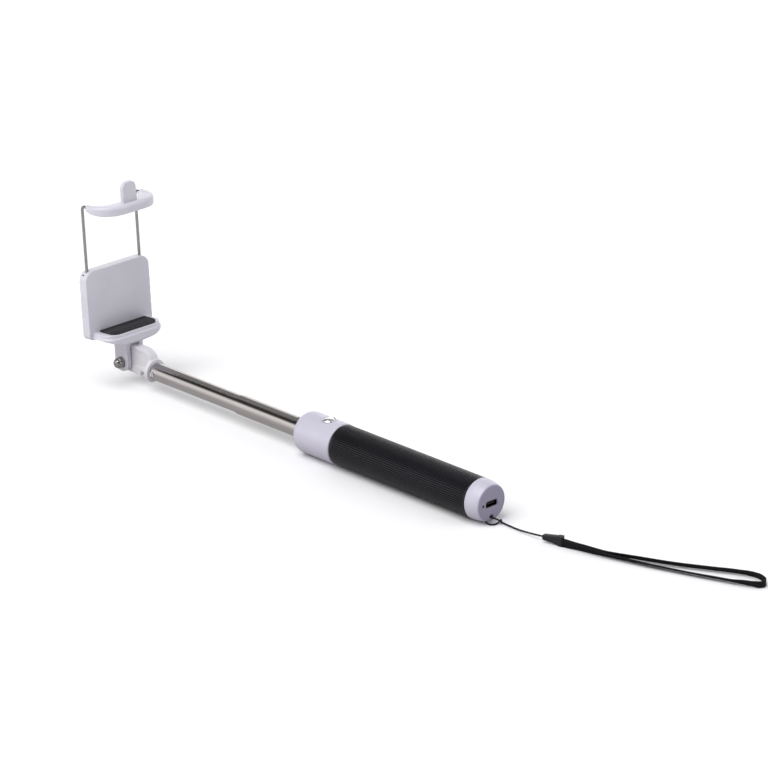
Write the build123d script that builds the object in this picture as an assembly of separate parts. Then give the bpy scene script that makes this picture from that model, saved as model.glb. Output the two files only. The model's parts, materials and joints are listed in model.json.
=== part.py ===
from build123d import *
import math
import os

os.makedirs("parts", exist_ok=True)

# Selfie stick. Millimetres. While it is being made, the stick's axis is Y at X = 0, Z = 0.
# The charging end is at the low end of Y and the phone clamp at the high end.
# At the end everything moves so that the origin is under the middle of the stick, on the table.

# handle
Y_END = -325.5
Y_CAP = -315.2
Y_GRIP = -200.5
Y_FRONT = -168.5
R_CAP_FACE = 11.2
R_GRIP = 12.64
R_COLLAR = 13.0
R_CORE = 11.2
R_CORE_IN = 9.6
RIBS = 60
RIB_DEPTH = 0.35
FLOOR = -R_COLLAR

# telescoping tubes: outer radius, inner radius, front end at rest
TUBE_LEN = 112.0
R_FIXED = 7.4
R_FIXED_IN = 7.1
Y_FIXED = -169.0
Y_FIXED_REAR = -283.5
R_LARGE = 6.8
R_LARGE_IN = 6.52
Y_LARGE = -161.6
R_MIDDLE = 6.22
R_MIDDLE_IN = 5.98
Y_MIDDLE = -109.5
R_SMALL = 5.68
R_SMALL_IN = 5.43
Y_SMALL = -31.0
FIT = 0.06
SHIM_LEN = 14.0

# shutter button
Y_BUTTON = -188.5
R_BUTTON = 3.66
R_BEZEL_IN = 3.72
R_BEZEL = 4.5

# hinge
Y_PIVOT = -6.1
Z_PIVOT = 1.0
LUG_HALF = 3.0
EAR_IN = 3.5
EAR_OUT = 7.0
R_EAR = 6.0
R_BOLT = 2.0
LEAN = 4.0

# clamp, in its own frame: x across, y = minus the distance towards the handle, z up, pivot at 0
JAW_HALF = 24.0
HOUSE_HALF = 26.0
JAW_FRONT = 10.5
HOUSE_BACK = -12.5
BASE_TOP = 22.0
BELLY_TOP = 19.5
HOUSE_TOP = 62.0
PAD_TOP = 23.2
X_WIRE = 21.8
T_WIRE = -9.5
R_WIRE = 0.95
UP_HALF = 24.2
UP_FRONT = 15.6
UP_ARM = -4.6
UP_BOTTOM = 102.0
UP_TOP = 106.0
LIP_BOTTOM = 100.0
WIRE_TURN = 104.1

# strap
D_CORD = 1.1
WEB_W = 4.5
WEB_T = 1.0


def box(x0, x1, y0, y1, z0, z1):
    return Pos((x0 + x1) / 2, (y0 + y1) / 2, (z0 + z1) / 2) * Box(x1 - x0, y1 - y0, z1 - z0)


def rod(r, y0, y1, x=0.0, z=0.0):
    return Pos(x, (y0 + y1) / 2, z) * Rot(90, 0, 0) * Cylinder(r, y1 - y0)


def post(r, z0, z1, x=0.0, y=0.0):
    return Pos(x, y, (z0 + z1) / 2) * Cylinder(r, z1 - z0)


def pin(r, x0, x1, y=0.0, z=0.0):
    return Pos((x0 + x1) / 2, y, z) * Rot(0, 90, 0) * Cylinder(r, x1 - x0)


def turned(points):
    # points are (radius, y), turned about the Y axis
    face = make_face(Polyline([(p[0], p[1]) for p in points], close=True))
    return revolve(face, Axis.Y, 360)


def side_plate(points, x0, x1):
    # points are (y, z), a plate square to X
    plane = Plane(origin=(x0, 0, 0), x_dir=(0, 1, 0), z_dir=(1, 0, 0))
    return extrude(plane * make_face(Polyline(points, close=True)), x1 - x0)


def plan_plate(width_half, y_back, y_front, radius, z0, z1):
    # a plate with round corners at its low-Y side, the side towards the handle
    w = width_half
    pts = [(w, y_back), (w, y_front), (-w, y_front), (-w, y_back)]
    face = make_face(Polyline(pts, close=True))
    corners = face.vertices().sort_by(Axis.Y)[:2]
    face = fillet(corners, radius)
    return Pos(0, 0, z0) * extrude(face, z1 - z0)


nodes = {}

# ---------------------------------------------------------------- handle
grip_pts = []
for i in range(RIBS):
    a0 = 2 * math.pi * i / RIBS
    step = 2 * math.pi / RIBS
    for frac, r in ((0.0, R_GRIP), (0.55, R_GRIP), (0.68, R_GRIP - RIB_DEPTH), (0.87, R_GRIP - RIB_DEPTH)):
        a = a0 + frac * step
        grip_pts.append((r * math.cos(a), r * math.sin(a)))
grip_face = make_face(Polyline(grip_pts, close=True)) - Circle(R_CORE)
grip = Pos(0, Y_GRIP - 0.2, 0) * Rot(90, 0, 0) * extrude(grip_face, Y_GRIP - 0.2 - Y_CAP)
nodes["grip_sleeve"] = grip

cap_out = turned([
    (0, Y_END), (R_CAP_FACE - 0.6, Y_END), (R_CAP_FACE, Y_END + 0.5), (R_CAP_FACE + 0.75, Y_END + 3.2),
    (R_GRIP - 0.15, Y_END + 6.8), (R_GRIP, Y_CAP), (0, Y_CAP)])
cap_cavity = rod(10.0, Y_END + 1.6, Y_CAP + 1) & box(-11, 11, Y_END, Y_CAP + 1, -6.4, 11)
cap_spigot = rod(R_CORE_IN, Y_CAP - 4, Y_CAP + 7.0) - rod(8.4, Y_CAP - 5, Y_CAP + 8)
cap = cap_out - cap_cavity - (rod(R_CORE, Y_CAP - 2.0, Y_CAP + 1) - rod(R_CORE_IN, Y_CAP - 2.0, Y_CAP + 1))
cap = cap + (cap_spigot & box(-11, 11, Y_CAP - 1.9, Y_CAP + 7, -11, 11))
port_hole = Plane(origin=(0, Y_END - 1, 0), x_dir=(1, 0, 0), z_dir=(0, 1, 0))
PORT_Z = -0.3


def port_face(w, h, c):
    # the wide side is down and the two upper corners are cut off; local y runs down
    pts = [(-w, h), (-w, -h + c), (-w + c, -h), (w - c, -h), (w, -h + c), (w, h)]
    return make_face(Polyline(pts, close=True))


cap = cap - Pos(0, 0, PORT_Z) * extrude(port_hole * port_face(4.8, 2.0, 1.0), 4)
cap = cap - box(-1.5, 1.5, Y_END - 1, Y_END + 5.1, -10.2, -7.4)
cap = cap - box(-1.5, 1.5, Y_END + 3.3, Y_END + 5.1, -13, -7.4)
cap = cap - box(-1.5, 1.5, Y_END - 1, Y_END + 5.1, -13, -11.6)
LED_X = -7.0
LED_Z = -0.3
cap = cap - rod(0.9, Y_END - 1, Y_END + 3, LED_X, LED_Z)
nodes["end_cap"] = cap

window = post(4.8, 5, 12, 0, Y_BUTTON)
nodes["handle_core"] = rod(R_CORE, Y_CAP - 2.0, Y_FRONT - 2) - rod(R_CORE_IN, Y_CAP - 3, Y_FRONT) - window

collar = turned([
    (R_CORE, Y_GRIP), (R_COLLAR - 0.25, Y_GRIP), (R_COLLAR, Y_GRIP + 0.6), (R_COLLAR, Y_FRONT - 4.1),
    (R_COLLAR - 0.25, Y_FRONT - 2.4), (R_COLLAR - 0.8, Y_FRONT - 1.1), (R_COLLAR - 1.8, Y_FRONT - 0.3),
    (R_COLLAR - 3.1, Y_FRONT), (R_FIXED, Y_FRONT), (R_FIXED, Y_FRONT - 2), (R_CORE, Y_FRONT - 2)])
nodes["front_collar"] = collar - post(R_BEZEL, 6, 14, 0, Y_BUTTON)

bezel = post(R_BEZEL, 11.5, 13.1, 0, Y_BUTTON) - post(R_BEZEL_IN, 11, 14, 0, Y_BUTTON)
nodes["button_bezel"] = chamfer(bezel.edges().filter_by(GeomType.CIRCLE).group_by(Axis.Z)[-1], 0.25)

button_pts = [(0, 10.65), (4.2, 10.65), (4.2, 11.15), (R_BUTTON, 11.15), (R_BUTTON, 12.95), (3.4, 13.22),
              (2.6, 13.42), (1.3, 13.56), (0, 13.6)]
button_plane = Plane(origin=(0, Y_BUTTON, 0), x_dir=(1, 0, 0), z_dir=(0, -1, 0))
button_face = button_plane * make_face(Polyline(button_pts, close=True))
button = revolve(button_face, Axis((0, Y_BUTTON, 0), (0, 0, 1)), 360)
nodes["shutter_button"] = button

nodes["button_board"] = box(-3.9, 3.9, -199.0, -178.6, 7.9, 8.7)
switch = box(-2.25, 2.25, Y_BUTTON - 2.25, Y_BUTTON + 2.25, 8.7, 9.6)
nodes["tact_switch"] = switch + post(1.0, 9.6, 9.85, 0, Y_BUTTON)

fixed = rod(R_FIXED, Y_FIXED_REAR, Y_FIXED) - rod(R_FIXED_IN, Y_FIXED_REAR - 1, Y_FIXED - 2.0)
nodes["fixed_tube"] = fixed - rod(R_LARGE + FIT, Y_FIXED - 3, Y_FIXED + 1)
nodes["tube_end_plug"] = rod(R_FIXED, Y_FIXED_REAR - 0.9, Y_FIXED_REAR) + rod(
    R_FIXED_IN, Y_FIXED_REAR - 0.1, Y_FIXED_REAR + 1.0)
rear_seat = rod(R_CORE_IN, -280, -274) - rod(R_FIXED, -281, -273)
nodes["tube_rear_seat"] = rear_seat - box(-2.0, 2.0, -281, -273, 7.0, 11)
nodes["tube_front_seat"] = rod(R_CORE_IN, -177.0, Y_FRONT - 2) - rod(R_FIXED, -178, Y_FRONT - 1)

board = box(-6.5, 6.5, -318.0, -284.7, -2.9, -1.9) + box(-8.0, 8.0, -322.8, -318.0, -2.9, -1.9)
nodes["main_board"] = board
shell_plane = Plane(origin=(0, Y_END + 0.4, PORT_Z), x_dir=(1, 0, 0), z_dir=(0, 1, 0))
shell = extrude(shell_plane * port_face(4.3, 1.6, 0.85), 5.2)
shell = shell - Pos(0, -0.1, 0) * extrude(shell_plane * port_face(4.05, 1.35, 0.75), 4.9)
nodes["charging_port"] = shell
nodes["port_tongue"] = box(-3.0, 3.0, Y_END + 1.2, Y_END + 5.2, PORT_Z - 0.15, PORT_Z + 0.35)
nodes["light_pipe"] = rod(0.9, Y_END + 0.05, Y_END + 4.4, LED_X, LED_Z)
nodes["status_light"] = box(LED_X - 0.8, LED_X + 0.8, Y_END + 4.4, Y_END + 5.4, -1.9, 0.3)
cell = box(-6.5, 6.5, -308, -286.2, 0.6, 5.6)
nodes["battery"] = fillet(cell.edges().filter_by(Axis.Y), 1.2)
nodes["battery_foam"] = box(-5.0, 5.0, -306, -288, -1.9, 0.6)
flex = box(-1.5, 1.5, -285.3, -196.0, 8.7, 9.0) + box(-1.5, 1.5, -285.3, -285.0, -1.9, 9.0)
nodes["flex_cable"] = flex


# ---------------------------------------------------------------- tubes
def section(r, r_in, y_front, inner_r):
    y_rear = y_front - TUBE_LEN
    body = rod(r, y_rear, y_front) - rod(r_in, y_rear - 1, y_front - 1.6)
    body = body - rod(inner_r + FIT, y_front - 2.6, y_front + 1)
    mouth = body.edges().filter_by(GeomType.CIRCLE).filter_by(lambda e: abs(e.radius - r) < 0.001)
    return chamfer(mouth.sort_by(Axis.Y)[-1], 0.15)


def shim(r, bore, y_front):
    # a split sleeve round the rear end, which stops against the next mouth
    y_rear = y_front - TUBE_LEN
    ring = rod(bore - 0.04, y_rear + 1.0, y_rear + 1.0 + SHIM_LEN) - rod(r, y_rear, y_rear + 2 + SHIM_LEN)
    return ring - box(-0.6, 0.6, y_rear, y_rear + 2 + SHIM_LEN, -9, 0)


nodes["large_tube"] = section(R_LARGE, R_LARGE_IN, Y_LARGE, R_MIDDLE)
nodes["large_tube_shim"] = shim(R_LARGE, R_FIXED_IN, Y_LARGE)
nodes["middle_tube"] = section(R_MIDDLE, R_MIDDLE_IN, Y_MIDDLE, R_SMALL)
nodes["middle_tube_shim"] = shim(R_MIDDLE, R_LARGE_IN, Y_MIDDLE)
small = rod(R_SMALL, Y_SMALL - TUBE_LEN, Y_SMALL) - rod(R_SMALL_IN, Y_SMALL - TUBE_LEN - 1, Y_SMALL + 1)
Y_RIVET = Y_SMALL - 2.6
nodes["small_tube"] = small - pin(1.0, -7, 0, Y_RIVET, 0)
nodes["small_tube_shim"] = shim(R_SMALL, R_MIDDLE_IN, Y_SMALL)

# ---------------------------------------------------------------- hinge plug
flange = turned([
    (0, Y_SMALL), (7.3, Y_SMALL), (7.6, Y_SMALL + 0.4), (7.6, Y_SMALL + 2.4), (7.0, Y_SMALL + 3.2),
    (0, Y_SMALL + 3.2)])
flange = flange - box(-9, 9, Y_SMALL - 1, Y_SMALL + 4, -9, -6.6)
spigot = rod(R_SMALL_IN, Y_SMALL - 12, Y_SMALL) - rod(3.6, Y_SMALL - 13, Y_SMALL - 5)
yp = Y_PIVOT
lug_pts = [(-29, -5.6), (-24.0, -5.6), (-24.0, -2.6), (-19.5, -2.6), (-19.5, -5.8), (yp, -5.1),
           (yp, 7.0), (-10.0, 12.2), (-12.5, 13.0), (-22.0, 13.0)]
for i in range(1, 9):
    a = math.radians(90 * i / 9)
    lug_pts.append((-22.0 - 8.6 * math.sin(a), 5.0 + 8.0 * math.cos(a)))
lug_pts.append((-30.6, 5.0))
lug_pts.append((-30.6, -5.6))
lug_pts = lug_pts[1:]
lug = side_plate(lug_pts, -LUG_HALF, LUG_HALF) + pin(6.1, -LUG_HALF, LUG_HALF, yp, Z_PIVOT)
PANEL_DEPTH = 0.35
panel = [(-27.4, 0.2), (-12.6, 0.2), (-12.6, 10.4), (-21.8, 10.4), (-25.2, 8.6), (-27.4, 4.8)]
lug = lug - side_plate(panel, -LUG_HALF - 1, -LUG_HALF + PANEL_DEPTH)
lug = lug - side_plate(panel, LUG_HALF - PANEL_DEPTH, LUG_HALF + 1)
plug = flange + spigot + lug
plug = plug - pin(R_BOLT + FIT, -8, 8, yp, Z_PIVOT) - pin(1.0, -7, -3.0, Y_RIVET, 0)
nodes["hinge_plug"] = plug
screw = pin(1.0, -5.9, -3.0, Y_RIVET, 0) + pin(1.7, -6.2, -5.75, Y_RIVET, 0)
nodes["plug_screw"] = screw - box(-7, -5.98, Y_RIVET - 0.25, Y_RIVET + 0.25, -2, 2)

# ---------------------------------------------------------------- clamp, in its own frame
w = JAW_HALF
low = Polyline([(w, 18.8), (w, BELLY_TOP), (-w, BELLY_TOP), (-w, 18.8)])
belly = ThreePointArc((-w, 18.8), (0, 13.4), (w, 18.8))
front_view = Plane(origin=(0, 12.5, 0), x_dir=(1, 0, 0), z_dir=(0, -1, 0))
base = extrude(front_view * make_face(low + belly), 24)
base = base & plan_plate(JAW_HALF, 12.4, -JAW_FRONT, 10.0, 0, 40)
keel = [(-11, 30), (-11, 16.0), (-10.2, 14.6), (-9.4, 13.9), (-8.2, 13.2), (5.6, 13.2), (9.0, 14.8),
        (12.5, 17.6), (12.5, 30)]
base = base & side_plate(keel, -30, 30)
tray = plan_plate(JAW_HALF - 0.9, 12.4, -JAW_FRONT + 0.9, 9.2, BELLY_TOP - 0.1, BASE_TOP)
ears = None
for s in (-1, 1):
    x0 = min(s * EAR_IN, s * EAR_OUT)
    x1 = max(s * EAR_IN, s * EAR_OUT)
    ear = pin(R_EAR, x0, x1) + box(x0, x1, -R_EAR, R_EAR, 0, 16.5)
    ears = ear if ears is None else ears + ear
house = box(-HOUSE_HALF, HOUSE_HALF, 5.8, -HOUSE_BACK, 17.5, HOUSE_TOP)
house = fillet(house.edges().filter_by(Axis.Y).group_by(Axis.Z)[-1], 6.0)
house = fillet(house.edges().filter_by(Axis.Y).group_by(Axis.Z)[0], 3.0)
fork = base + tray + ears + house
fork = fork - box(-24.6, 24.6, 7.2, 13, 20.0, 60.0)
for x in (-X_WIRE, X_WIRE):
    fork = fork - post(R_WIRE + FIT, 58, 64, x, -T_WIRE)
fork = fork - pin(R_BOLT, -8, 8)
screw_xz = [(-12.0, 22.2), (12.0, 22.2), (-12.0, 57.8), (12.0, 57.8)]
for x, z in screw_xz:
    fork = fork + rod(2.2, 7.0, 11.3, x, z)
for x, z in screw_xz:
    fork = fork - rod(0.9, 8.0, 12.0, x, z)
fork = fork & box(-30, 30, -20, -HOUSE_BACK, -10, 70)
nodes["lower_jaw"] = fork
cover = box(-24.6, 24.6, 11.3, 12.5, 20.0, 60.0)
screws = []
for x, z in screw_xz:
    cover = cover - rod(0.95, 11, 13, x, z) - rod(1.8, 11.9, 13, x, z)
    sc = rod(0.9, 8.4, 12.0, x, z) + rod(1.75, 11.9, 12.45, x, z)
    sc = sc - box(x - 1.0, x + 1.0, 12.15, 13, z - 0.2, z + 0.2)
    screws.append(sc - box(x - 0.2, x + 0.2, 12.15, 13, z - 1.0, z + 1.0))
nodes["back_cover"] = cover
nodes["cover_screws"] = Compound(children=screws)
pad = plan_plate(18.5, 4.8, -8.8, 5.0, BASE_TOP, PAD_TOP)
for y in (-7.2, -5.2, 1.6, 3.4):
    pad = pad - box(-30, 30, y - 0.3, y + 0.3, PAD_TOP - 0.5, PAD_TOP + 1)
nodes["lower_jaw_pad"] = pad

bolt = pin(R_BOLT, -10.6, EAR_OUT) + pin(3.7, EAR_OUT, EAR_OUT + 2.4)
hexagon = RegularPolygon(1.45, 6, major_radius=False)
socket_plane = Plane(origin=(EAR_OUT + 1.0, 0, 0), x_dir=(0, 1, 0), z_dir=(1, 0, 0))
bolt = bolt - extrude(socket_plane * hexagon, 3)
rim = bolt.edges().filter_by(GeomType.CIRCLE).filter_by(lambda e: abs(e.radius - 3.7) < 0.001)
nodes["hinge_bolt"] = fillet(rim.sort_by(Axis.X)[-1], 0.7)
nut_plane = Plane(origin=(-EAR_OUT, 0, 0), x_dir=(0, 0, 1), z_dir=(-1, 0, 0))
nut = extrude(nut_plane * RegularPolygon(3.5, 6, major_radius=False), 2.7)
nut = chamfer(nut.faces().sort_by(Axis.X)[0].edges(), 0.35)
dome_pts = [(0, EAR_OUT + 2.3), (3.1, EAR_OUT + 2.3), (3.1, EAR_OUT + 3.2)]
for i in range(1, 8):
    a = math.radians(90 * i / 8)
    dome_pts.append((3.1 * math.cos(a), EAR_OUT + 3.2 + 2.1 * math.sin(a)))
dome_pts.append((0, EAR_OUT + 5.3))
nut = nut + Rot(0, 0, 90) * turned(dome_pts)
nodes["hinge_nut"] = nut - pin(R_BOLT, -10.6, -6)
washers = []
for s in (-1, 1):
    x0 = min(s * (LUG_HALF + 0.05), s * EAR_IN)
    x1 = max(s * (LUG_HALF + 0.05), s * EAR_IN)
    washers.append(pin(4.6, x0, x1) - pin(R_BOLT, -8, 8))
nodes["hinge_washers"] = Compound(children=washers)

# sliding upper jaw
plan_out = plan_plate(UP_HALF, -UP_ARM, -UP_FRONT, 16.5, LIP_BOTTOM, UP_TOP)
rim = plan_out.edges().group_by(Axis.Z)[-1].filter_by(lambda e: e.center().Y < -UP_ARM - 0.1)
plan_out = fillet(rim, 2.2)
plan_in = plan_plate(UP_HALF - 4.2, -UP_ARM + 4, -4.4, 12.8, LIP_BOTTOM - 5, UP_TOP + 5)
lip_in = plan_plate(UP_HALF - 1.6, -UP_ARM + 4, -UP_FRONT + 1.6, 14.9, LIP_BOTTOM - 1, UP_BOTTOM)
lip_in = lip_in & box(-30, 30, -20, 1.6, 90, 110)
sunk = plan_plate(UP_HALF - 3.0, -UP_ARM + 4, -UP_FRONT + 3.0, 13.5, UP_TOP - 1.0, UP_TOP + 5)
keel = [(-16, 110), (-16, LIP_BOTTOM), (-9.5, LIP_BOTTOM), (-6.0, 100.3), (-2.0, 100.9), (1.5, 101.6),
        (4.7, 102.9), (4.7, 110)]
hull = plan_out & side_plate(keel, -30, 30)
for x in (-UP_HALF, UP_HALF):
    tip = box(min(x, x * 0.5), max(x, x * 0.5), 0, -UP_ARM, 90, 110)
    outer = tip.edges().filter_by(Axis.Z).filter_by(lambda e: e.center().Y > 1 and abs(e.center().X) > 20)
    hull = hull - (tip - fillet(outer, 2.0))
tab_face = make_face(Polyline([(-5.5, 105), (5.5, 105), (5.5, 118.8), (-5.5, 118.8)], close=True))
tab_face = fillet(tab_face.vertices().sort_by(Axis.Y)[-2:], 4.6)
tab_plane = Plane(origin=(0, -8.4, 0), x_dir=(1, 0, 0), z_dir=(0, -1, 0))
tab = extrude(tab_plane * tab_face, 3.0)
upper = hull - plan_in - lip_in - sunk + tab
for x in (-X_WIRE, X_WIRE):
    upper = upper - rod(R_WIRE, 2.0, 7.0, x, WIRE_TURN)
nodes["upper_jaw"] = upper
upper_pad = plan_plate(17.0, -6.0, -12.9, 5.0, UP_BOTTOM - 1.2, UP_BOTTOM)
for y in (-11.0, -8.8):
    upper_pad = upper_pad - box(-30, 30, y - 0.3, y + 0.3, UP_BOTTOM - 2, UP_BOTTOM - 0.7)
nodes["upper_jaw_pad"] = upper_pad

wires = []
for x in (-X_WIRE, X_WIRE):
    path = FilletPolyline((x, -T_WIRE, 47.8), (x, -T_WIRE, WIRE_TURN), (x, 2.2, WIRE_TURN), radius=2.3)
    start = Plane(origin=(x, -T_WIRE, 47.8), z_dir=(0, 0, 1))
    wires.append(sweep(start * Circle(R_WIRE), path=path))
nodes["jaw_wires"] = Compound(children=wires)
stops = []
for x in (-X_WIRE, X_WIRE):
    stop = box(x - 2.0, x + 2.0, 7.6, 10.9, 47.0, 51.5)
    stop = fillet(stop.edges().filter_by(Axis.Z), 0.6)
    stops.append(stop - post(R_WIRE, 47.8, 52, x, -T_WIRE))
nodes["wire_stops"] = Compound(children=stops)

clamp_nodes = ["lower_jaw", "back_cover", "cover_screws", "lower_jaw_pad", "hinge_bolt", "hinge_nut",
               "hinge_washers", "upper_jaw", "upper_jaw_pad", "jaw_wires", "wire_stops"]
for name in clamp_nodes:
    nodes[name] = Pos(0, Y_PIVOT, Z_PIVOT) * Rot(-LEAN, 0, 0) * nodes[name]

# ---------------------------------------------------------------- strap, lying on the table
def chain(points, r):
    # a limp cord pulled tight: straight lengths with round joints
    body = None
    for p, q in zip(points[:-1], points[1:]):
        run = Vector(*q) - Vector(*p)
        mid = (Vector(*q) + Vector(*p)) * 0.5
        piece = Plane(origin=mid, z_dir=run) * Cylinder(r, run.length)
        piece = piece + Pos(*q) * Sphere(r)
        body = piece + Pos(*p) * Sphere(r) if body is None else body + piece
    return body


def corner_radii(points):
    radii = []
    for a, b, c in zip(points[:-2], points[1:-1], points[2:]):
        u = Vector(*b) - Vector(*a)
        v = Vector(*c) - Vector(*b)
        turn = math.radians(u.get_angle(v))
        radii.append(0.45 * min(u.length, v.length) / math.tan(turn / 2))
    return radii


ZC = FLOOR + D_CORD / 2 + 0.03
KNOT = (4.0, -328.6, -11.9)
loop = [KNOT, (0.3, Y_END - 1.0, -9.0), (0, -321.1, -8.8), (0, -321.1, -12.2), (0.4, -326.6, -12.3), KNOT]
hitch = chain(loop, 0.5)
knot = Pos(*KNOT) * Rot(0, 0, 20) * Sphere(1.0)
knot = knot + Pos(3.6, -328.9, -11.9) * Sphere(0.85) + Pos(4.2, -329.2, -12.0) * Sphere(0.9)
hitch = hitch + knot

cord_pts = [(4.3, -329.4, ZC), (3.2, -341.0, FLOOR + 0.8), (2.3, -354.0, FLOOR + 2.1),
            (3.3, -366.2, FLOOR + 3.2)]
cord_radii = corner_radii(cord_pts)
cord_path = FilletPolyline(*cord_pts, radius=cord_radii)
start = Plane(origin=cord_path @ 0, z_dir=cord_path % 0)
cord = sweep(start * Circle(D_CORD / 2), path=cord_path)
nodes["strap_cord"] = cord
nodes["strap_hitch"] = hitch - cord
print("cord length", round(cord_path.length, 1), "radii", [round(r, 1) for r in cord_radii])

# the clip stands on its edge: a tapered shell with a raised band where the webbing goes in
CLIP_A = Vector(2.8, -364.2, FLOOR + 3.17)
CLIP_B = Vector(6.1, -377.2, FLOOR + 3.17)
clip_dir = (CLIP_B - CLIP_A).normalized()
clip_plane = Plane(origin=CLIP_A, x_dir=clip_dir, z_dir=clip_dir.cross(Vector(0, 0, 1)))
clip_pts = [(0, -1.2), (0.9, -1.65), (10.4, -2.8), (10.4, 2.8), (0.9, 1.65), (0, 1.2)]
shell = extrude(clip_plane * make_face(Polyline(clip_pts, close=True)), 1.6, both=True)
band_pts = [(10.2, -3.05), (13.4, -3.15), (13.4, 3.15), (10.2, 3.05)]
band = extrude(clip_plane * make_face(Polyline(band_pts, close=True)), 1.8, both=True)
clip = chamfer(shell.edges().filter_by(Axis(CLIP_A, clip_plane.z_dir), reverse=True), 0.4)
clip = clip + chamfer(band.edges().filter_by(Axis(CLIP_A, clip_plane.z_dir), reverse=True), 0.3)
clip = clip - cord
ZW = FLOOR + WEB_W / 2 + 0.03
web_pts = [(6.2, -374.6), (9.3, -388.0), (13.9, -406.0), (20.2, -418.0), (29.4, -440.4), (40.2, -460.2),
           (48.4, -474.6), (51.4, -484.5), (50.6, -491.0), (47.4, -496.0), (42.6, -496.2), (40.0, -490.2),
           (35.6, -477.8), (27.5, -454.8), (19.5, -431.4), (14.0, -413.5), (7.6, -391.0), (4.7, -374.8)]
web_pts = [(p[0], p[1], ZW) for p in web_pts]
web_radii = corner_radii(web_pts)
web_path = FilletPolyline(*web_pts, radius=web_radii)
w_dir = web_path % 0
web_plane = Plane(origin=web_path @ 0, x_dir=Vector(0, 0, 1).cross(w_dir), z_dir=w_dir)
web = sweep(web_plane * Rectangle(WEB_T, WEB_W), path=web_path)
nodes["strap_webbing"] = web
nodes["strap_clip"] = clip - web
cord_volume = math.pi * D_CORD ** 2 / 4 * cord_path.length
web_volume = WEB_T * WEB_W * web_path.length
print("webbing length", round(web_path.length, 1), "radii", [round(r, 1) for r in web_radii])
print("webbing volume", round(web.volume, 1), "expected", round(web_volume, 1))
print("cord volume", round(cord.volume, 2), "expected", round(cord_volume, 2))

# ---------------------------------------------------------------- move to the shared origin and write
cord_nodes = ["strap_hitch", "strap_cord", "strap_clip", "strap_webbing"]
boxes = [n.bounding_box() for k, n in nodes.items() if k not in cord_nodes]
low_y = min(b.min.Y for b in boxes)
high_y = max(b.max.Y for b in boxes)
low_z = min(b.min.Z for b in boxes)
high_z = max(b.max.Z for b in boxes)
shift = Vector(0, -(low_y + high_y) / 2, -low_z)
print("shift", round(shift.Y, 4), round(shift.Z, 4))
print("length", round(high_y - low_y, 2), "height", round(high_z - low_z, 2))
print("pivot", round(Y_PIVOT + shift.Y, 4), round(Z_PIVOT + shift.Z, 4))
for name, shape in nodes.items():
    moved = Pos(shift.X, shift.Y, shift.Z) * shape
    moved.label = name
    solids = moved.solids()
    print(name, len(solids), round(sum(x.volume for x in solids), 2))
    export_step(moved, "parts/" + name + ".step")
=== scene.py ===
import json
import math
import bpy
from mathutils import Matrix, Vector


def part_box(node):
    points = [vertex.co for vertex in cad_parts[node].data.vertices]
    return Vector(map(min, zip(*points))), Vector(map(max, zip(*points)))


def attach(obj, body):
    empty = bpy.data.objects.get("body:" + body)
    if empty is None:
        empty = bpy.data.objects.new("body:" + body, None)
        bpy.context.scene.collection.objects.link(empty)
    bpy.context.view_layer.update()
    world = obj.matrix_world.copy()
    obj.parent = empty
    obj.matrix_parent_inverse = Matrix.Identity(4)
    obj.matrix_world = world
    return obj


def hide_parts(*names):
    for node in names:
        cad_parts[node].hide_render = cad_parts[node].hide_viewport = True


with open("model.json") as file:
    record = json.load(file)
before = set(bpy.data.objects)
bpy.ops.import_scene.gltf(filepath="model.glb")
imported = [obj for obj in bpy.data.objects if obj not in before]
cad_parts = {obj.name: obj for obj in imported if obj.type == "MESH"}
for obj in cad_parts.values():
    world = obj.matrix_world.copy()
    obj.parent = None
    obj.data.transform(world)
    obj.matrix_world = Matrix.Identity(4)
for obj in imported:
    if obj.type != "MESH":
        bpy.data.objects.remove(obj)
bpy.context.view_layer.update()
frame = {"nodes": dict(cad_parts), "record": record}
NODES = frame["nodes"]
MM = 0.001

# ------------------------------------------------------------------ camera
CAM_AZ, CAM_EL = -44.29, 21.55
cam_data = bpy.data.cameras.new("camera")
cam_data.lens = 205.55
cam_data.sensor_width = 36.0
cam_data.clip_start = 0.05
cam_data.clip_end = 50.0
cam = bpy.data.objects.new("camera", cam_data)
bpy.context.scene.collection.objects.link(cam)
cam.location = (-1.6848, -1.805667, 1.0150)
cam.rotation_euler = (math.radians(90 - CAM_EL), 0, math.radians(CAM_AZ))
bpy.context.scene.camera = cam
bpy.context.scene.view_settings.view_transform = "Standard"


# ------------------------------------------------------------------ mesh helpers
def link(obj):
    bpy.context.scene.collection.objects.link(obj)
    return obj


def mesh_object(name, verts, faces, material, smooth=True):
    mesh = bpy.data.meshes.new(name)
    mesh.from_pydata([tuple(v) for v in verts], [], faces)
    mesh.validate()
    mesh.update()
    mesh.materials.append(material)
    for face in mesh.polygons:
        face.use_smooth = smooth
    return link(bpy.data.objects.new(name, mesh))


def baked(obj, name, material):
    """A new plain mesh object from obj with its modifiers applied; obj is removed."""
    graph = bpy.context.evaluated_depsgraph_get()
    mesh = bpy.data.meshes.new_from_object(obj.evaluated_get(graph))
    bpy.data.objects.remove(obj)
    mesh.materials.clear()
    mesh.materials.append(material)
    for face in mesh.polygons:
        face.use_smooth = True
    return link(bpy.data.objects.new(name, mesh))


def joined(name, parts, material):
    """One mesh object from several lists of (verts, faces)."""
    verts, faces = [], []
    for v, f in parts:
        base = len(verts)
        verts += v
        faces += [tuple(base + i for i in face) for face in f]
    return mesh_object(name, verts, faces, material)


def place(piece, node, body):
    """The piece stands for the CAD node and moves with its body."""
    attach(piece, body)
    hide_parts(node)


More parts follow.
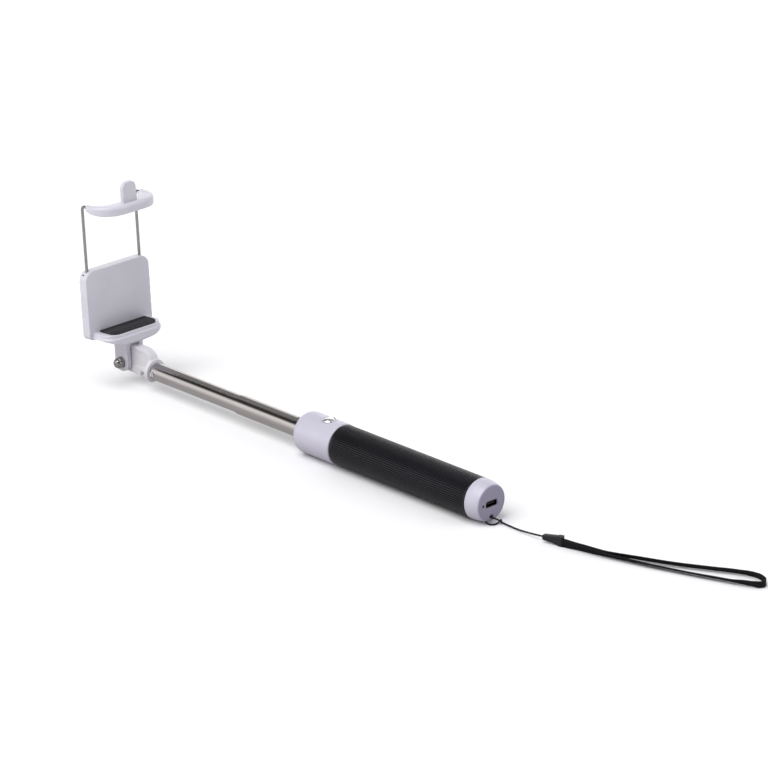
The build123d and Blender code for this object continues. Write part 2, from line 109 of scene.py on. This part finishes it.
# ------------------------------------------------------------------ shader helpers
def new_material(name, color, rough, metal=0.0, coat=0.0, sheen=0.0):
    m = bpy.data.materials.new(name)
    m.use_nodes = True
    m.diffuse_color = (*color, 1)
    shader = m.node_tree.nodes["Principled BSDF"]
    shader.inputs["Base Color"].default_value = (*color, 1)
    shader.inputs["Roughness"].default_value = rough
    shader.inputs["Metallic"].default_value = metal
    shader.inputs["Coat Weight"].default_value = coat
    shader.inputs["Coat Roughness"].default_value = 0.12
    shader.inputs["Sheen Weight"].default_value = sheen
    return m


def add(tree, kind, **values):
    n = tree.nodes.new(kind)
    for key, value in values.items():
        setattr(n, key, value)
    return n


def object_space(m, stretch=(1, 1, 1)):
    where = add(m.node_tree, "ShaderNodeTexCoord")
    mapping = add(m.node_tree, "ShaderNodeMapping")
    mapping.inputs["Scale"].default_value = stretch
    m.node_tree.links.new(where.outputs["Object"], mapping.inputs["Vector"])
    return mapping.outputs["Vector"]


def noise(m, scale, detail=3.0, stretch=(1, 1, 1)):
    n = add(m.node_tree, "ShaderNodeTexNoise")
    n.inputs["Scale"].default_value = scale
    n.inputs["Detail"].default_value = detail
    m.node_tree.links.new(object_space(m, stretch), n.inputs["Vector"])
    return n.outputs["Fac"]


def shader_input(m, name):
    return m.node_tree.nodes["Principled BSDF"].inputs[name]


def tint(m, source, dark, light, low=0.35, high=0.65):
    """The colour runs between two near colours."""
    ramp = add(m.node_tree, "ShaderNodeValToRGB")
    ramp.color_ramp.elements[0].position = low
    ramp.color_ramp.elements[0].color = (*dark, 1)
    ramp.color_ramp.elements[1].position = high
    ramp.color_ramp.elements[1].color = (*light, 1)
    m.node_tree.links.new(source, ramp.inputs["Fac"])
    m.node_tree.links.new(ramp.outputs["Color"], shader_input(m, "Base Color"))
    return ramp.outputs["Color"]


def rough_from(m, source, low, high):
    spread = add(m.node_tree, "ShaderNodeMapRange")
    spread.inputs["To Min"].default_value = low
    spread.inputs["To Max"].default_value = high
    m.node_tree.links.new(source, spread.inputs["Value"])
    m.node_tree.links.new(spread.outputs["Result"], shader_input(m, "Roughness"))


def bump_from(m, source, strength, distance, edge=0.0):
    """Fine relief, over edges that look rounded by edge."""
    bump = add(m.node_tree, "ShaderNodeBump")
    bump.inputs["Strength"].default_value = strength
    bump.inputs["Distance"].default_value = distance
    m.node_tree.links.new(source, bump.inputs["Height"])
    if edge:
        bevel = add(m.node_tree, "ShaderNodeBevel", samples=6)
        bevel.inputs["Radius"].default_value = edge
        m.node_tree.links.new(bevel.outputs["Normal"], bump.inputs["Normal"])
    m.node_tree.links.new(bump.outputs["Normal"], shader_input(m, "Normal"))


# ------------------------------------------------------------------ materials
def moulded_white(name, dark, light):
    """Satin moulded plastic: faint mottling and a fine skin texture."""
    m = new_material(name, light, 0.36, coat=0.12)
    tint(m, noise(m, 45, 2), dark, light)
    rough_from(m, noise(m, 300, 3), 0.32, 0.44)
    bump_from(m, noise(m, 2600, 2), 0.06, 0.00003)
    return m


def cap_white_painted_shade(dark, light, shade, face_y):
    """The same plastic, with the flat end face at face_y in a deeper lavender that is painted shade on the
    face turned from the light.
    """
    m = moulded_white("cap_white_painted_shade", dark, light)
    t = m.node_tree
    part = add(t, "ShaderNodeSeparateXYZ")
    t.links.new(object_space(m), part.inputs["Vector"])
    # painted shade: the end face darkens over its last 0.8 mm
    face = add(t, "ShaderNodeMapRange")
    face.inputs["From Min"].default_value = face_y + 0.9 * MM
    face.inputs["From Max"].default_value = face_y + 0.1 * MM
    t.links.new(part.outputs["Y"], face.inputs["Value"])
    mix = add(t, "ShaderNodeMix", data_type="RGBA")
    t.links.new(face.outputs["Result"], mix.inputs["Factor"])
    t.links.new(shader_input(m, "Base Color").links[0].from_socket, mix.inputs["A"])
    mix.inputs["B"].default_value = (*shade, 1)
    t.links.new(mix.outputs["Result"], shader_input(m, "Base Color"))
    return m


def grip_rubber(radius, axis_z, depth):
    """Black rubber that is duller in the grooves, which lie depth under radius."""
    m = new_material("grip_rubber", (0.005, 0.005, 0.008), 0.28)
    t = m.node_tree
    tint(m, noise(m, 60, 3, (1, 0.2, 1)), (0.003, 0.003, 0.005), (0.007, 0.007, 0.011))
    rough_from(m, noise(m, 500, 3), 0.18, 0.27)
    bump_from(m, noise(m, 5000, 3), 0.10, 0.00004)
    from_axis = add(t, "ShaderNodeVectorMath", operation="SUBTRACT")
    t.links.new(object_space(m, (1, 0, 1)), from_axis.inputs[0])
    from_axis.inputs[1].default_value = (0, 0, axis_z)
    far = add(t, "ShaderNodeVectorMath", operation="LENGTH")
    t.links.new(from_axis.outputs["Vector"], far.inputs[0])
    crest = add(t, "ShaderNodeMapRange")
    crest.inputs["From Min"].default_value = radius - depth
    crest.inputs["From Max"].default_value = radius
    crest.inputs["To Min"].default_value = 0.03
    crest.inputs["To Max"].default_value = 0.33
    t.links.new(far.outputs["Value"], crest.inputs["Value"])
    t.links.new(crest.outputs["Result"], shader_input(m, "Specular IOR Level"))
    return m


def steel():
    """Drawn tube: streaks run lengthwise, colour and gloss change with them."""
    m = new_material("steel", (0.44, 0.42, 0.41), 0.14, 1.0)
    streak = noise(m, 900, 3, (1, 0.012, 1))
    tint(m, streak, (0.41, 0.39, 0.38), (0.47, 0.45, 0.44))
    rough_from(m, streak, 0.12, 0.20)
    bump_from(m, streak, 0.04, 0.00002)
    return m


def plated(name, dark, light):
    """Bright plate: nearly a mirror, with faint handling marks."""
    m = new_material(name, light, 0.06, 1.0)
    tint(m, noise(m, 500, 3), dark, light)
    rough_from(m, noise(m, 700, 4), 0.04, 0.12)
    bump_from(m, noise(m, 260, 2), 0.04, 0.00002, edge=0.15 * MM)
    return m


def grained(name, color, rough, metal=0.0, grain=1500, vary=0.12, bump=0.1, depth=0.00005, edge=0.0):
    """Colour, gloss and relief from noise of one grain size."""
    m = new_material(name, color, rough, metal)
    dark = tuple(c * (1 - vary) for c in color)
    light = tuple(min(1.0, c * (1 + vary)) for c in color)
    tint(m, noise(m, grain / 12, 3), dark, light)
    rough_from(m, noise(m, grain / 4, 3), max(0.02, rough - 0.07), min(1.0, rough + 0.08))
    bump_from(m, noise(m, grain, 3), bump, depth, edge)
    return m


def board():
    """Green lacquer with paler tracks under it."""
    m = new_material("board", (0.02, 0.11, 0.05), 0.4, coat=0.3)
    tracks = add(m.node_tree, "ShaderNodeTexVoronoi", feature="DISTANCE_TO_EDGE")
    tracks.inputs["Scale"].default_value = 700
    m.node_tree.links.new(object_space(m), tracks.inputs["Vector"])
    tint(m, tracks.outputs["Distance"], (0.05, 0.22, 0.10), (0.015, 0.10, 0.04), 0.04, 0.10)
    rough_from(m, noise(m, 800, 2), 0.3, 0.5)
    bump_from(m, tracks.outputs["Distance"], 0.3, 0.00005)
    return m


def woven(name, uv_name, dark, light, relief):
    """A weave of slanting threads, laid along the piece's own UV map."""
    m = new_material(name, light, 0.85)
    shader_input(m, "Specular IOR Level").default_value = 0.25
    uv = add(m.node_tree, "ShaderNodeUVMap", uv_map=uv_name)
    heights = []
    for direction in ("DIAGONAL", "X"):
        wave = add(m.node_tree, "ShaderNodeTexWave", bands_direction=direction)
        wave.inputs["Scale"].default_value = 1.0
        wave.inputs["Distortion"].default_value = 0.4
        m.node_tree.links.new(uv.outputs["UV"], wave.inputs["Vector"])
        heights.append(wave.outputs["Fac"])
    both = add(m.node_tree, "ShaderNodeMath", operation="MAXIMUM")
    m.node_tree.links.new(heights[0], both.inputs[0])
    m.node_tree.links.new(heights[1], both.inputs[1])
    tint(m, heights[0], dark, light, 0.2, 0.9)
    rough_from(m, noise(m, 900, 3), 0.75, 0.95)
    bump_from(m, both.outputs["Value"], 0.6, relief)
    return m


GRIP_LOW, GRIP_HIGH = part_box("grip_sleeve")
GRIP_RADIUS = (GRIP_HIGH[0] - GRIP_LOW[0]) / 2
GRIP_AXIS_Z = (GRIP_HIGH[2] + GRIP_LOW[2]) / 2
RIB_DEPTH = 0.35 * MM
MAT = {
    "white_abs": moulded_white("lavender_white", (0.515, 0.497, 0.585), (0.555, 0.537, 0.625)),
    "black_grip": grip_rubber(GRIP_RADIUS, GRIP_AXIS_Z, RIB_DEPTH),
    "dark_core": grained("dark_core", (0.02, 0.02, 0.022), 0.5),
    "polished_steel": steel(),
    "chrome": plated("chrome", (0.68, 0.68, 0.72), (0.76, 0.76, 0.80)),
    "brass_shim": grained("brass", (0.55, 0.38, 0.14), 0.28, 1.0, bump=0.04),
    "pad_rubber": grained("pad_rubber", (0.02, 0.02, 0.023), 0.75, grain=3000, bump=0.25, edge=0.2 * MM),
    "circuit_board": board(),
    "switch_plastic": grained("switch_plastic", (0.008, 0.008, 0.01), 0.35),
    "cell_foil": grained("cell_foil", (0.42, 0.43, 0.46), 0.35, 1.0, grain=600, bump=0.3, depth=0.0002),
    "foam": grained("foam", (0.03, 0.03, 0.032), 0.95, grain=2500, bump=0.8, depth=0.0002),
    "flex_film": grained("flex_film", (0.30, 0.12, 0.02), 0.3),
    "clear_pipe": grained("clear_pipe", (0.06, 0.05, 0.08), 0.25),
    "strap_fabric": woven("webbing", "weave", (0.002, 0.002, 0.003), (0.007, 0.008, 0.009), 0.12 * MM),
    "strap_cord": grained("strap_cord", (0.004, 0.004, 0.005), 0.8, grain=6000, vary=0.3, bump=0.6,
                          depth=0.0001),
    "clip_plastic": grained("clip_plastic", (0.003, 0.0025, 0.005), 0.45, grain=2500, bump=0.2),
}
HINGE_WHITE = moulded_white("hinge_white", (0.64, 0.63, 0.66), (0.69, 0.68, 0.705))
DARK_PLATE = plated("dark_plate", (0.26, 0.25, 0.245), (0.33, 0.315, 0.31))
PORT_SHELL = grained("port_shell", (0.035, 0.03, 0.026), 0.4, 1.0)
# the jaws use the same lavender white plastic made lighter: painted light standing in for the light on their
# fronts
JAW_WHITE_PAINTED_LIGHT = moulded_white("jaw_white_painted_light", (0.60, 0.588, 0.65), (0.64, 0.628, 0.69))
# the third colour is painted shade on the end cap's flat end face
CAP_WHITE_PAINTED_SHADE = cap_white_painted_shade((0.515, 0.497, 0.585), (0.555, 0.537, 0.625), (0.30, 0.28, 0.38),
                      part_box("end_cap")[0][1])
OWN_MATERIAL = {"jaw_wires": DARK_PLATE, "charging_port": PORT_SHELL}
SLOT_OF = {s["node"]: s["material_slot"] for s in frame["record"]["subparts"]}
BODY_OF = {n: body for body, members in frame["record"]["behaviour"]["bodies"].items() for n in members}
for node, obj in NODES.items():
    obj.data.materials.clear()
    obj.data.materials.append(OWN_MATERIAL.get(node, MAT[SLOT_OF[node]]))

# ------------------------------------------------------------------ strap: the cords first
# the route's points are in the maker's frame, in millimetres: x, y, height over the table
SHIFT_Y = 157.0332
WEB_W, WEB_T = 4.5, 1.0
WEAVE_PER_METRE = 1500
STRANDS, LAY = 4, 3.0
STRAND_OFFSET, STRAND_RADIUS = 0.28, 0.30


def metres(x, y, height):
    return Vector((x * MM, (y + SHIFT_Y) * MM, height * MM))


def nurbs(name, points, radius=0.0, resolution=12):
    """A curve of one open NURBS spline with given control points, in metres."""
    curve = bpy.data.curves.new(name, "CURVE")
    curve.dimensions = "3D"
    curve.resolution_u = resolution
    curve.bevel_depth = radius
    curve.bevel_resolution = 4
    curve.use_fill_caps = radius > 0
    spline = curve.splines.new("NURBS")
    spline.points.add(len(points) - 1)
    for p, co in zip(spline.points, points):
        p.co = (*co, 1)
    spline.order_u = 3
    spline.use_endpoint_u = True
    return link(bpy.data.objects.new(name, curve))


def line_of(points):
    """The points that a NURBS spline passes through, close together."""
    obj = nurbs("route", points, 0.0, 16)
    graph = bpy.context.evaluated_depsgraph_get()
    mesh = bpy.data.meshes.new_from_object(obj.evaluated_get(graph))
    line = [v.co.copy() for v in mesh.vertices]
    bpy.data.objects.remove(obj)
    bpy.data.meshes.remove(mesh)
    return line


def length_of(line):
    return sum((b - a).length for a, b in zip(line[:-1], line[1:]))


def frames_along(line):
    """Point, tangent, side and up at each point of a line that is nowhere steep."""
    out = []
    for i, p in enumerate(line):
        tangent = (line[min(i + 1, len(line) - 1)] - line[max(i - 1, 0)]).normalized()
        side = Vector((0, 0, 1)).cross(tangent).normalized()
        out.append((p, tangent, side, tangent.cross(side).normalized()))
    return out


def tube(centres, radius, sides=8, closed=False):
    """Verts and faces of a round tube through centres, turned as little as it can be."""
    n = len(centres)
    verts, faces = [], []
    across = None
    for i, p in enumerate(centres):
        ahead = centres[(i + 1) % n] if closed else centres[min(i + 1, n - 1)]
        behind = centres[i - 1] if closed or i else centres[0]
        tangent = (ahead - behind).normalized()
        if across is None:
            across = tangent.orthogonal().normalized()
        across = (across - tangent * across.dot(tangent)).normalized()
        other = tangent.cross(across)
        for k in range(sides):
            a = 2 * math.pi * k / sides
            verts.append(p + (across * math.cos(a) + other * math.sin(a)) * radius)
    for i in range(n if closed else n - 1):
        j = (i + 1) % n
        for k in range(sides):
            m = (k + 1) % sides
            faces.append((i * sides + k, i * sides + m, j * sides + m, j * sides + k))
    if not closed:
        faces.append(tuple(range(sides - 1, -1, -1)))
        faces.append(tuple((n - 1) * sides + k for k in range(sides)))
    return verts, faces


def laid_cord(line, strands, lay, offset, radius):
    """Twisted strands round a line; lay is the length of one turn."""
    parts = []
    steps = 6
    dense = []
    for a, b in zip(line[:-1], line[1:]):
        dense += [a.lerp(b, k / steps) for k in range(steps)]
    dense.append(line[-1])
    places = frames_along(dense)
    run = [0.0]
    for a, b in zip(dense[:-1], dense[1:]):
        run.append(run[-1] + (b - a).length)
    for s in range(strands):
        centres = []
        for (p, _, side, up), r in zip(places, run):
            turn = 2 * math.pi * (r / lay + s / strands)
            centres.append(p + (side * math.cos(turn) + up * math.sin(turn)) * offset)
        parts.append(tube(centres, radius))
    return parts


CORD_POINTS = [(4.7, -328.9, 0.58), (3.2, -341.0, 0.8), (2.3, -354.0, 2.1), (3.3, -366.2, 3.2)]
cord_line = line_of([metres(*p) for p in CORD_POINTS])
strands = laid_cord(cord_line, STRANDS, LAY * MM, STRAND_OFFSET * MM, STRAND_RADIUS * MM)
strap_cord = joined("strap_cord_line", strands, MAT["strap_cord"])
place(strap_cord, "strap_cord", "handle")

# webbing: x, y and how far the band leans over from standing on its edge, in degrees
WEB_HEIGHT = 2.28
WEB_POINTS = [
    (6.2, -374.6, 0), (9.3, -388.0, -28), (13.9, -406.0, -44), (20.2, -418.0, -48), (29.4, -440.4, -48),
    (40.2, -460.2, -46), (48.4, -474.6, -42), (51.4, -484.5, -30), (50.6, -491.0, -15), (47.4, -496.0, 0),
    (42.6, -496.2, 16), (40.0, -490.2, 34), (35.6, -477.8, 56), (27.5, -454.8, 62), (19.5, -431.4, 60),
    (14.0, -413.5, 52), (7.6, -391.0, 30), (4.7, -374.8, 0)]
web_line = line_of([metres(x, y, WEB_HEIGHT) for x, y, lean in WEB_POINTS])


def nearest_fraction(line, points):
    """How far along the line, from 0 to 1, it comes nearest to each point."""
    total = length_of(line)
    run, marks = 0.0, []
    for i, p in enumerate(line):
        if i:
            run += (p - line[i - 1]).length
        marks.append((p, run / total))
    return [min(marks, key=lambda m: (m[0] - q).length)[1] for q in points]


def lean_at(f, marks, leans):
    for (f0, f1), (a, b) in zip(zip(marks[:-1], marks[1:]), zip(leans[:-1], leans[1:])):
        if f <= f1:
            t = (f - f0) / (f1 - f0)
            t = t * t * (3 - 2 * t)
            return math.radians(a * (1 - t) + b * t)
    return math.radians(leans[-1])


def ribbon(name, line, marks, leans, width, thick, material):
    """A flat woven band along line that leans over and keeps its lower edge on the table."""
    h, t = width / 2, thick / 2
    edge = 0.2 * MM
    half_ring = [(-h - 0.3 * edge, 0), (-h, 0.55 * t), (-h + edge, t), (-0.5 * h, 0.86 * t), (0, 0.92 * t),
                 (0.5 * h, 0.86 * t), (h - edge, t), (h, 0.55 * t)]
    ring = half_ring + [(-u, -w) for u, w in half_ring]
    verts, faces, lengths = [], [], []
    run, total = 0.0, length_of(line)
    places = frames_along(line)
    for i, (p, tangent, side, up) in enumerate(places):
        if i:
            run += (p - line[i - 1]).length
        a = lean_at(run / total, marks, leans)
        across = up * math.cos(a) + side * math.sin(a)
        through = side * math.cos(a) - up * math.sin(a)
        rest = abs(h * math.cos(a)) + abs(t * math.sin(a)) + 0.05 * MM
        centre = Vector((p.x, p.y, min(p.z, rest)))
        verts += [centre + across * u + through * w for u, w in ring]
        lengths.append(run)
    n = len(ring)
    for i in range(len(line) - 1):
        for k in range(n):
            faces.append((i * n + k, i * n + (k + 1) % n, (i + 1) * n + (k + 1) % n, (i + 1) * n + k))
    faces.append(tuple(range(n - 1, -1, -1)))
    faces.append(tuple((len(line) - 1) * n + k for k in range(n)))
    obj = mesh_object(name, verts, faces, material)
    uv = obj.data.uv_layers.new(name="weave")
    for poly in obj.data.polygons:
        for corner in poly.loop_indices:
            i, k = divmod(obj.data.loops[corner].vertex_index, n)
            uv.data[corner].uv = (lengths[i] * WEAVE_PER_METRE, ring[k][0] * WEAVE_PER_METRE)
    return obj


web_marks = nearest_fraction(web_line, [metres(x, y, WEB_HEIGHT) for x, y, lean in WEB_POINTS])
webbing = ribbon("strap_band", web_line, web_marks, [p[2] for p in WEB_POINTS], WEB_W * MM, WEB_T * MM,
                 MAT["strap_fabric"])
place(webbing, "strap_webbing", "handle")


# the hitch: a loop round the cap's bar, an overhand knot and two short tails
Y_END = -325.5
KNOT = metres(4.6, -328.1, 1.15)


def hitch():
    loop = [KNOT, metres(0.3, Y_END - 1.0, 4.0), metres(0, -321.1, 4.2), metres(-0.2, -321.0, 0.9),
            metres(-2.2, -323.0, 0.55), metres(-2.9, -326.6, 0.52), metres(0.4, -329.0, 0.55), KNOT]
    parts = [tube(line_of(loop), 0.48 * MM, 10)]
    turns = 48
    size = 0.30 * MM
    trefoil = []
    for i in range(turns):
        t = 2 * math.pi * i / turns
        p = Vector((math.sin(t) + 2 * math.sin(2 * t), math.cos(t) - 2 * math.cos(2 * t), -math.sin(3 * t)))
        trefoil.append(KNOT + Matrix.Rotation(0.5, 3, "Y") @ p * size)
    parts.append(tube(trefoil, 0.40 * MM, 8, closed=True))
    tails = [[KNOT, metres(5.6, -327.2, 1.5), metres(6.4, -327.4, 1.3)],
             [KNOT, metres(4.2, -329.6, 0.9), metres(3.4, -330.2, 0.6)]]
    for tail in tails:
        parts.append(tube(line_of(tail), 0.38 * MM, 8))
    return joined("hitch_loop", parts, MAT["strap_cord"])


hitch_loop = hitch()
place(hitch_loop, "strap_hitch", "handle")


# ------------------------------------------------------------------ moulded parts with soft edges
def moulded(node, cell, passes, material=None):
    """The CAD node's own shape with its edges rounded as a mould leaves them."""
    copy = link(bpy.data.objects.new(node + "_copy", NODES[node].data.copy()))
    remesh = copy.modifiers.new("remesh", "REMESH")
    remesh.mode = "VOXEL"
    remesh.voxel_size = cell
    soften = copy.modifiers.new("soften", "SMOOTH")
    soften.factor = 0.5
    soften.iterations = passes
    piece = baked(copy, node + "_moulded", material or MAT[SLOT_OF[node]])
    place(piece, node, BODY_OF[node])
    return piece


moulded("upper_jaw", 0.38 * MM, 5, JAW_WHITE_PAINTED_LIGHT)
moulded("lower_jaw", 0.40 * MM, 4, JAW_WHITE_PAINTED_LIGHT)
moulded("hinge_plug", 0.34 * MM, 4, HINGE_WHITE)
moulded("front_collar", 0.38 * MM, 6)
moulded("end_cap", 0.22 * MM, 4, CAP_WHITE_PAINTED_SHADE)
moulded("strap_clip", 0.17 * MM, 4)


# ------------------------------------------------------------------ grip
RIBS = 60
RIB_PROFILE = [(0.0, 0), (0.14, 0), (0.28, 0), (0.42, 0), (0.55, 0.06), (0.63, 0.5), (0.70, 0.94), (0.78, 1),
               (0.86, 0.94), (0.93, 0.5)]
R_CORE = 11.2 * MM


def grip_skin():
    """A rubber tube with ribs that fade into a plain band at each end."""
    low, high, radius, axis_z = GRIP_LOW, GRIP_HIGH, GRIP_RADIUS, GRIP_AXIS_Z
    stations = [(0.0, 0.35, 0), (0.12, 0.08, 0), (0.35, 0, 0), (1.1, 0, 0), (1.5, 0, 0.5), (1.9, 0, 1),
                (4, 0, 1)]
    rings = [(low[1] + y * MM, r * MM, rib) for y, r, rib in stations]
    rings += [((low[1] + high[1]) / 2, 0, 1)]
    rings += [(high[1] - y * MM, r * MM, rib) for y, r, rib in reversed(stations)]
    around = []
    for i in range(RIBS):
        around += [(2 * math.pi * (i + f) / RIBS, depth) for f, depth in RIB_PROFILE]
    n = len(around)
    verts, faces = [], []
    for y, cut, rib in [(rings[0][0], radius - R_CORE, 0)] + rings + [(rings[-1][0], radius - R_CORE, 0)]:
        for a, depth in around:
            r = radius - cut - depth * rib * RIB_DEPTH
            verts.append((r * math.cos(a), y, axis_z + r * math.sin(a)))
    rows = len(verts) // n
    for i in range(rows):
        j = (i + 1) % rows
        for k in range(n):
            faces.append((i * n + k, j * n + k, j * n + (k + 1) % n, i * n + (k + 1) % n))
    return mesh_object("grip_skin", verts, faces, MAT["black_grip"])


place(grip_skin(), "grip_sleeve", "handle")


# ------------------------------------------------------------------ bright metal pieces
def lathe(profile, centre, axis, sides=64):
    """Verts and faces of profile, pairs of radius and height in millimetres, turned about axis."""
    across = axis.orthogonal().normalized()
    other = axis.cross(across)
    verts, faces = [], []
    for r, h in profile:
        for k in range(sides):
            a = 2 * math.pi * k / sides
            verts.append(centre + axis * h * MM + (across * math.cos(a) + other * math.sin(a)) * r * MM)
    for i in range(len(profile) - 1):
        for k in range(sides):
            j = (k + 1) % sides
            faces.append((i * sides + k, i * sides + j, (i + 1) * sides + j, (i + 1) * sides + k))
    faces.append(tuple(range(sides - 1, -1, -1)))
    faces.append(tuple((len(profile) - 1) * sides + k for k in range(sides)))
    return verts, faces


def dome(radius, rise, foot, steps=10):
    """A round cap's profile, from its foot nearly to its top."""
    return [(radius * math.cos(a), foot + rise * math.sin(a))
            for a in (math.radians(90 * i / (steps + 0.2)) for i in range(steps + 1))]


def button_cap():
    low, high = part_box("shutter_button")
    base = Vector(((low[0] + high[0]) / 2, (low[1] + high[1]) / 2, low[2]))
    tall = (high[2] - low[2]) / MM
    flange, neck, rim = 4.2, 3.62, 0.42
    profile = [(flange, 0), (flange, 0.5), (neck, 0.52), (neck, tall - 1.0)]
    profile += [(neck - rim * (1 - math.cos(a)), tall - 1.0 + rim * math.sin(a))
                for a in (math.radians(15 * i) for i in range(1, 7))]
    crown = neck - rim
    profile += [(crown * math.cos(a), tall - 1.0 + rim + (1.0 - rim) * math.sin(a))
                for a in (math.radians(9 * i) for i in range(1, 10))]
    return joined("button_cap", [lathe(profile, base, Vector((0, 0, 1)))], MAT["chrome"])


def acorn_nut():
    low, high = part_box("hinge_nut")
    base = Vector((high[0], (low[1] + high[1]) / 2, (low[2] + high[2]) / 2))
    out = Vector((-1, 0, 0))
    flats, thick, washer = 3.5, 2.7, 3.45
    corner = flats / math.cos(math.radians(30))
    sides = 6 * 8
    verts, faces = [], []
    levels = [(0.0, 0.94), (0.2, 1.0), (thick - 0.45, 1.0), (thick, 0.0)]
    for height, hexagonal in levels:
        for k in range(sides):
            a = 2 * math.pi * k / sides
            inside = (a + math.radians(4)) % math.radians(60) - math.radians(30)
            r = min(flats / math.cos(inside), corner * 0.985)
            r = r if hexagonal == 1.0 else min(r, flats * (1.0 if hexagonal == 0.0 else 1.06))
            verts.append(base + out * height * MM + Vector((0, math.sin(a), math.cos(a))) * r * MM)
    for i in range(len(levels) - 1):
        for k in range(sides):
            j = (k + 1) % sides
            faces.append((i * sides + k, i * sides + j, (i + 1) * sides + j, (i + 1) * sides + k))
    faces.append(tuple(range(sides - 1, -1, -1)))
    faces.append(tuple((len(levels) - 1) * sides + k for k in range(sides)))
    cap = [(washer, thick - 0.05), (3.15, thick + 0.2), (3.1, thick + 0.5)] + dome(3.1, 2.1, thick + 0.5)
    parts = [(verts, faces), lathe(cap, base, out, 48)]
    nut = joined("acorn_nut", parts, DARK_PLATE)
    nut.data.shade_smooth()
    nut.data.set_sharp_from_angle(angle=math.radians(28))
    return nut


place(button_cap(), "shutter_button", "shutter")
place(acorn_nut(), "hinge_nut", "clamp")

# ------------------------------------------------------------------ studio
FLOOR_HALF = 14.0
floor_m = new_material("floor", (0.95, 0.95, 0.95), 0.9)
rough_from(floor_m, noise(floor_m, 3, 2), 0.85, 0.95)
FLOOR_DROP = 0.0002
floor_corners = [(x * FLOOR_HALF, y * FLOOR_HALF, 0) for x, y in ((-1, -1), (1, -1), (1, 1), (-1, 1))]
floor = mesh_object("floor", floor_corners, [(0, 1, 2, 3)], floor_m, False)
floor.location.z = -FLOOR_DROP
# rays other than the camera's see a darker floor, darkest along x = 0 under the stick: painted shadow for
# the metal's reflections and for light bounced onto the parts; the camera sees the floor evenly pale
seen = add(floor_m.node_tree, "ShaderNodeLightPath")
shade = add(floor_m.node_tree, "ShaderNodeMix", data_type="RGBA")
shade.inputs["B"].default_value = (0.95, 0.95, 0.95, 1)
t = floor_m.node_tree
across = add(t, "ShaderNodeSeparateXYZ")
t.links.new(object_space(floor_m), across.inputs["Vector"])
aside = add(t, "ShaderNodeMath", operation="ABSOLUTE")
t.links.new(across.outputs["X"], aside.inputs[0])
# painted shadow: the floor is darker close to x = 0
near = add(t, "ShaderNodeValToRGB")
near.color_ramp.elements[0].position = 0.01
near.color_ramp.elements[0].color = (0.56, 0.545, 0.54, 1)
near.color_ramp.elements[1].position = 0.12
near.color_ramp.elements[1].color = (0.86, 0.85, 0.84, 1)
t.links.new(aside.outputs["Value"], near.inputs["Fac"])
t.links.new(near.outputs["Color"], shade.inputs["A"])
t.links.new(seen.outputs["Is Camera Ray"], shade.inputs["Factor"])
t.links.new(shade.outputs["Result"], shader_input(floor_m, "Base Color"))


def studio_world():
    """Bright at the sides, dim behind the camera, and dark panels high up beyond the object.

    The panels are what polished metal needs to look like metal. Their edges lie along Y.
    """
    peak = 1.6
    world = bpy.data.worlds.new("world")
    bpy.context.scene.world = world
    world.use_nodes = True
    t = world.node_tree
    sky = t.nodes["Background"]
    sky.inputs["Strength"].default_value = peak
    way = add(t, "ShaderNodeTexCoord")
    part = add(t, "ShaderNodeSeparateXYZ")
    t.links.new(way.outputs["Generated"], part.inputs["Vector"])
    mirror = add(t, "ShaderNodeMath", operation="MULTIPLY")
    mirror.inputs[1].default_value = -1.0
    t.links.new(part.outputs["X"], mirror.inputs[0])
    roll = add(t, "ShaderNodeMath", operation="ARCTAN2")
    t.links.new(part.outputs["Z"], roll.inputs[0])
    t.links.new(mirror.outputs["Value"], roll.inputs[1])
    turn = add(t, "ShaderNodeMapRange")
    turn.inputs["From Min"].default_value = -math.pi
    turn.inputs["From Max"].default_value = math.pi
    t.links.new(roll.outputs["Value"], turn.inputs["Value"])
    ramp = add(t, "ShaderNodeValToRGB")
    # angle up from the -X side in degrees, and brightness there
    stops = [(-6, 0.9), (0, 1.3), (26, 1.45), (37, 1.0), (44, 0.4), (48, 0.02), (76, 0.02), (84, 0.33),
             (140, 0.36), (148, 1.4)]
    points = ramp.color_ramp.elements
    while len(points) < len(stops):
        points.new(0.5)
    for point, (angle, value) in zip(points, stops):
        point.position = (angle + 180) / 360
    for point, (angle, value) in zip(points, stops):
        v = value / peak
        point.color = (v, v * 0.985, v * 0.985, 1)
    t.links.new(turn.outputs["Result"], ramp.inputs["Fac"])
    beyond = add(t, "ShaderNodeMapRange")
    beyond.inputs["From Min"].default_value = 0.05
    beyond.inputs["From Max"].default_value = 0.35
    t.links.new(part.outputs["Y"], beyond.inputs["Value"])
    mix = add(t, "ShaderNodeMix", data_type="RGBA")
    mix.inputs["A"].default_value = (0.40, 0.40, 0.415, 1)
    t.links.new(beyond.outputs["Result"], mix.inputs["Factor"])
    t.links.new(ramp.outputs["Color"], mix.inputs["B"])
    # a dark ceiling over the side that faces -X and -Y
    turned_away = add(t, "ShaderNodeVectorMath", operation="DOT_PRODUCT")
    t.links.new(way.outputs["Generated"], turned_away.inputs[0])
    turned_away.inputs[1].default_value = Vector((-0.63, -0.67, 0.78)).normalized()
    room = add(t, "ShaderNodeMapRange")
    room.inputs["From Min"].default_value = math.cos(math.radians(44))
    room.inputs["From Max"].default_value = math.cos(math.radians(33))
    t.links.new(turned_away.outputs["Value"], room.inputs["Value"])
    dark = add(t, "ShaderNodeMix", data_type="RGBA")
    t.links.new(room.outputs["Result"], dark.inputs["Factor"])
    t.links.new(mix.outputs["Result"], dark.inputs["A"])
    dark.inputs["B"].default_value = (0.015, 0.02, 0.05, 1)
    t.links.new(dark.outputs["Result"], sky.inputs["Color"])


def sun(name, towards, spread, strength):
    data = bpy.data.lights.new(name, "SUN")
    data.angle = math.radians(spread)
    data.energy = strength
    obj = link(bpy.data.objects.new(name, data))
    obj.rotation_euler = Vector(towards).to_track_quat("Z", "Y").to_euler()
    return obj


studio_world()
sun("key", (-0.5, 0.05, 0.86), 55, 2.5)
sun("fill", (0.5, -0.8, 0.35), 40, 0.4)
